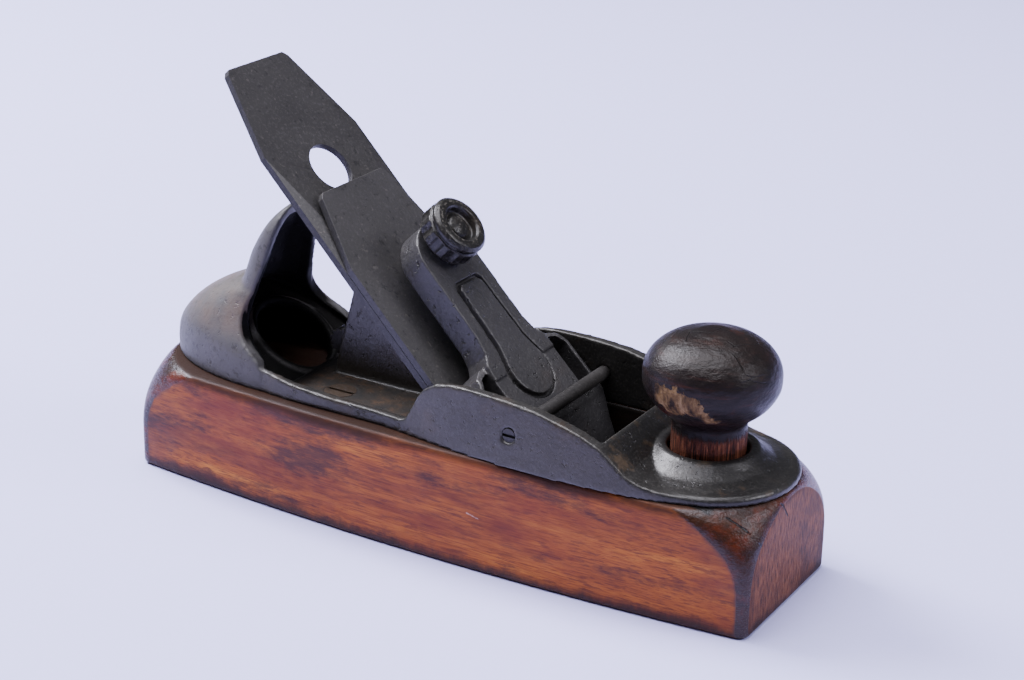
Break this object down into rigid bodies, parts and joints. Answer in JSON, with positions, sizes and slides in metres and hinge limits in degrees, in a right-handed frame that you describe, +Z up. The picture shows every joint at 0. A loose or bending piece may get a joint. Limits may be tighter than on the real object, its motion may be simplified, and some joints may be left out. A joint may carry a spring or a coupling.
{
  "type": "wood-bottomed smoothing plane",
  "caption": "Smoothing plane with a coffin-shaped wooden stock, cast iron top with hollow handle, turned front knob, lever cap, cap iron and lever-set cutter.",
  "frame": {"origin": "middle of the sole", "axes": "+X towards the toe and the front knob, +Y across, +Z up from the sole"},
  "size_m": [0.2032, 0.0624, 0.1244],
  "materials": {
    "beech": "oiled beech, red-brown, dark stains and worn edges",
    "knob_wood": "dark polished hardwood, worn at the neck",
    "japanned_iron": "black japanning over cast iron, worn grey at the edges",
    "dark_steel": "dark aged tool steel with fine speckle",
    "worn_steel": "dull steel with a little rust"
  },
  "bodies": {
    "frame": {"wood_body": "beech", "top_casting": "japanned_iron", "frame_screws": "worn_steel", "front_knob": "knob_wood", "knob_stud": "worn_steel", "cross_rod": "worn_steel", "lever_pivot_pin": "worn_steel"},
    "adjuster": {"adjusting_lever": "japanned_iron"},
    "cutter_set": {"cutter": "dark_steel", "cap_iron": "dark_steel", "cap_iron_screw": "worn_steel"},
    "lever_cap": {"lever_cap": "japanned_iron"},
    "thumbscrew_stem": {"thumbscrew_stem": "worn_steel"},
    "thumbscrew_knob": {"thumbscrew_knob": "japanned_iron"}
  },
  "joints": [
    {"name": "adjuster_turn", "type": "hinge", "parent": "frame", "child": "adjuster", "pos_m": [-0.01986, 0, 0.04794], "axis": [0, -1, 0], "range_deg": [-5, 8]},
    {"name": "cutter_slide", "type": "slide", "parent": "frame", "child": "cutter_set", "axis": [-0.6934, 0, 0.7206], "range_m": [-0.00122, 0.00195]},
    {"name": "lever_cap_slide", "type": "slide", "parent": "frame", "child": "lever_cap", "axis": [-0.6934, 0, 0.7206], "range_m": [0, 0.006]},
    {"name": "thumbscrew_travel", "type": "slide", "parent": "lever_cap", "child": "thumbscrew_stem", "axis": [0.7206, 0, 0.6934], "range_m": [0, 0.00249]},
    {"name": "thumbscrew_turn", "type": "hinge", "parent": "thumbscrew_stem", "child": "thumbscrew_knob", "pos_m": [-0.00763, 0, 0.08427], "axis": [0.7206, 0, 0.6934], "range_deg": [0, 720]}
  ],
  "couplings": [
    {"joint": "adjuster_turn", "follows": "cutter_slide", "rad_per_m": 71.429},
    {"joint": "thumbscrew_turn", "follows": "thumbscrew_travel", "rad_per_m": 5026.5}
  ]
}
